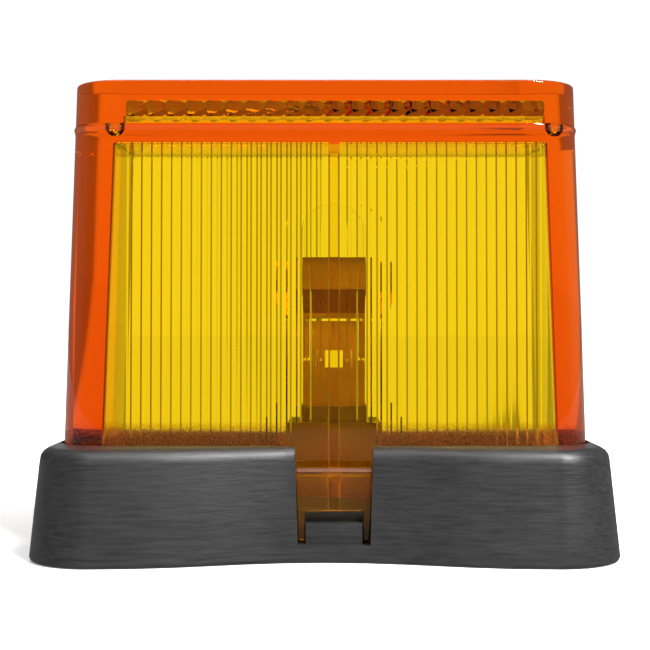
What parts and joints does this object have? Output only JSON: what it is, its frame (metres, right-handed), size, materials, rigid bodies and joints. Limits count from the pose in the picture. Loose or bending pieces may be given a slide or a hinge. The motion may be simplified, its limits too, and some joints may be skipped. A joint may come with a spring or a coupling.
{
  "type": "barricade warning light",
  "caption": "Surface-mounted amber warning lamp: tall tapered fluted box lens with a reflex cap, snapped onto a waisted black base; wedge bulb inside.",
  "frame": {"origin": "centre of the underside of the base, on the mounting surface", "axes": "+Z out from the mounting surface towards the reflex cap, +X along the long side, +Y to the rear; -Y is the front"},
  "size_m": [0.0866, 0.0446, 0.0707],
  "materials": {
    "black_plastic": "satin black with faint drawn grain",
    "soft_rubber": "matt black",
    "moulding": "dark brown moulding",
    "amber_plastic": "transparent amber, polished",
    "spring_bronze": "bare, darkened by age",
    "plated_steel": "bright zinc plate",
    "clear_glass": "clear",
    "tungsten": "drawn wire"
  },
  "bodies": {
    "base": {"base_housing": "black_plastic", "mounting_gasket": "soft_rubber", "lens_seal": "soft_rubber", "cable_grommet": "soft_rubber", "mounting_sleeve_left": "plated_steel", "mounting_sleeve_right": "plated_steel", "mounting_washer_left": "soft_rubber", "mounting_washer_right": "soft_rubber", "mounting_screw_left": "plated_steel", "mounting_screw_right": "plated_steel", "terminal_block": "moulding", "block_rivet_left": "plated_steel", "block_rivet_right": "plated_steel", "terminal_strip_live": "spring_bronze", "terminal_strip_earth": "spring_bronze", "terminal_clamp_live": "plated_steel", "terminal_clamp_earth": "plated_steel", "terminal_screw_live": "plated_steel", "terminal_screw_earth": "plated_steel", "contact_blade_front": "spring_bronze", "contact_blade_rear": "spring_bronze"},
    "lens": {"lens_body": "amber_plastic", "reflex_cap": "amber_plastic"},
    "latch_front": {"lens_latch_front": "amber_plastic"},
    "latch_rear": {"lens_latch_rear": "amber_plastic"},
    "bulb": {"bulb_glass": "clear_glass", "bulb_filament": "tungsten", "bulb_lead_front": "tungsten", "bulb_lead_rear": "tungsten"}
  },
  "joints": [
    {"name": "lens_lift", "type": "slide", "parent": "base", "child": "lens", "axis": [0, 0, 1], "range_m": [0, 0.06]},
    {"name": "latch_front_flex", "type": "hinge", "parent": "lens", "child": "latch_front", "pos_m": [0, -0.0153, 0.0125], "axis": [-1, 0, 0], "range_deg": [0, 8], "stiffness_Nm_per_rad": 0.05},
    {"name": "latch_rear_flex", "type": "hinge", "parent": "lens", "child": "latch_rear", "pos_m": [0, 0.0153, 0.0125], "axis": [1, 0, 0], "range_deg": [0, 8], "stiffness_Nm_per_rad": 0.05},
    {"name": "bulb_pull", "type": "slide", "parent": "base", "child": "bulb", "axis": [0, 0, 1], "range_m": [0, 0.008]}
  ]
}
